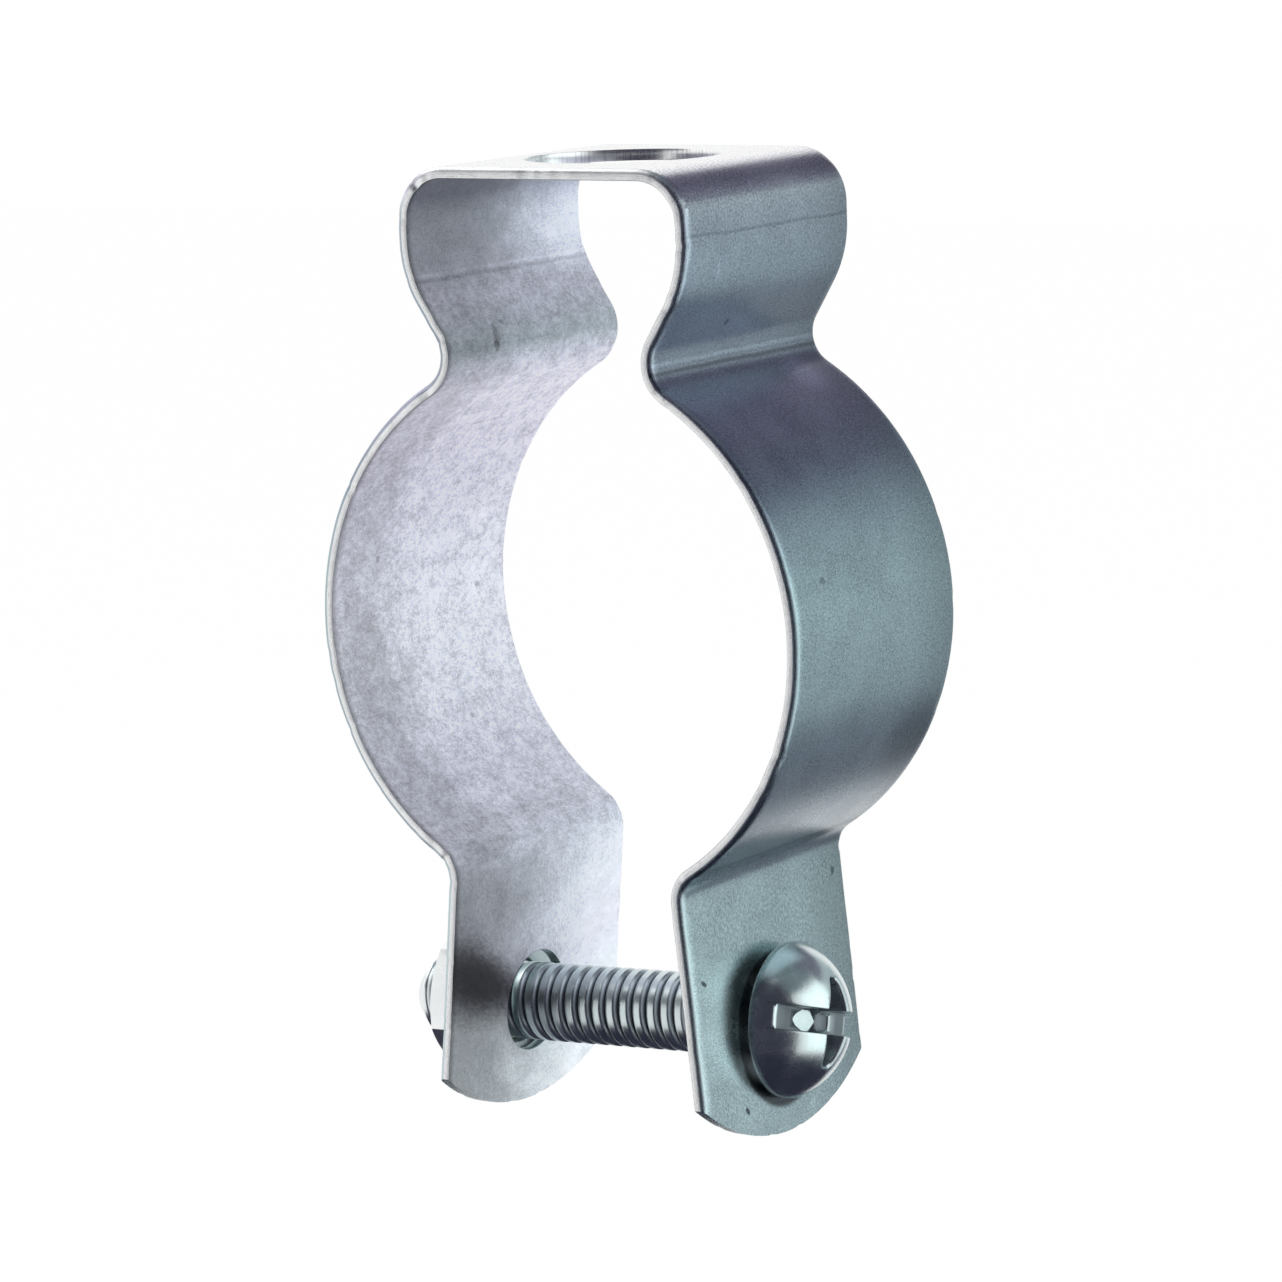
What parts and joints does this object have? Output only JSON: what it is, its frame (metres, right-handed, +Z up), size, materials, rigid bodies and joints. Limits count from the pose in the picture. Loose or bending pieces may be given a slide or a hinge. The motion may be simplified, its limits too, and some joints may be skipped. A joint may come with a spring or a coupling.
{
  "type": "conduit hanger",
  "caption": "Folded strap conduit hanger: an open loop clamped round the pipe by a screw and nut, hung by a hole in its flat top.",
  "frame": {"origin": "centre of the hanging hole, on the outer face of the top plate", "axes": "+Z up out of the hanging hole, X along the screw towards its head, Y along the conduit"},
  "size_m": [0.043, 0.0238, 0.075],
  "materials": {
    "galvanised_strip": "galvanised steel strip, satin with a fine mottled grain",
    "zinc_plated_screw": "bright zinc plating",
    "zinc_plated_nut": "bright zinc plating"
  },
  "bodies": {
    "strap": {"strap": "galvanised_strip"},
    "screw": {"screw": "zinc_plated_screw"},
    "nut": {"nut": "zinc_plated_nut"}
  },
  "joints": [
    {"name": "screw_turn", "type": "hinge", "parent": "strap", "child": "screw", "pos_m": [0, 0, -0.06673], "axis": [0.9994, 0, 0.0349], "range_deg": [0, 1800]},
    {"name": "nut_travel", "type": "slide", "parent": "strap", "child": "nut", "axis": [-0.9994, 0, -0.0349], "range_m": [0, 0.00637]}
  ],
  "couplings": [
    {"joint": "nut_travel", "follows": "screw_turn", "m_per_rad": 0.00020213}
  ]
}
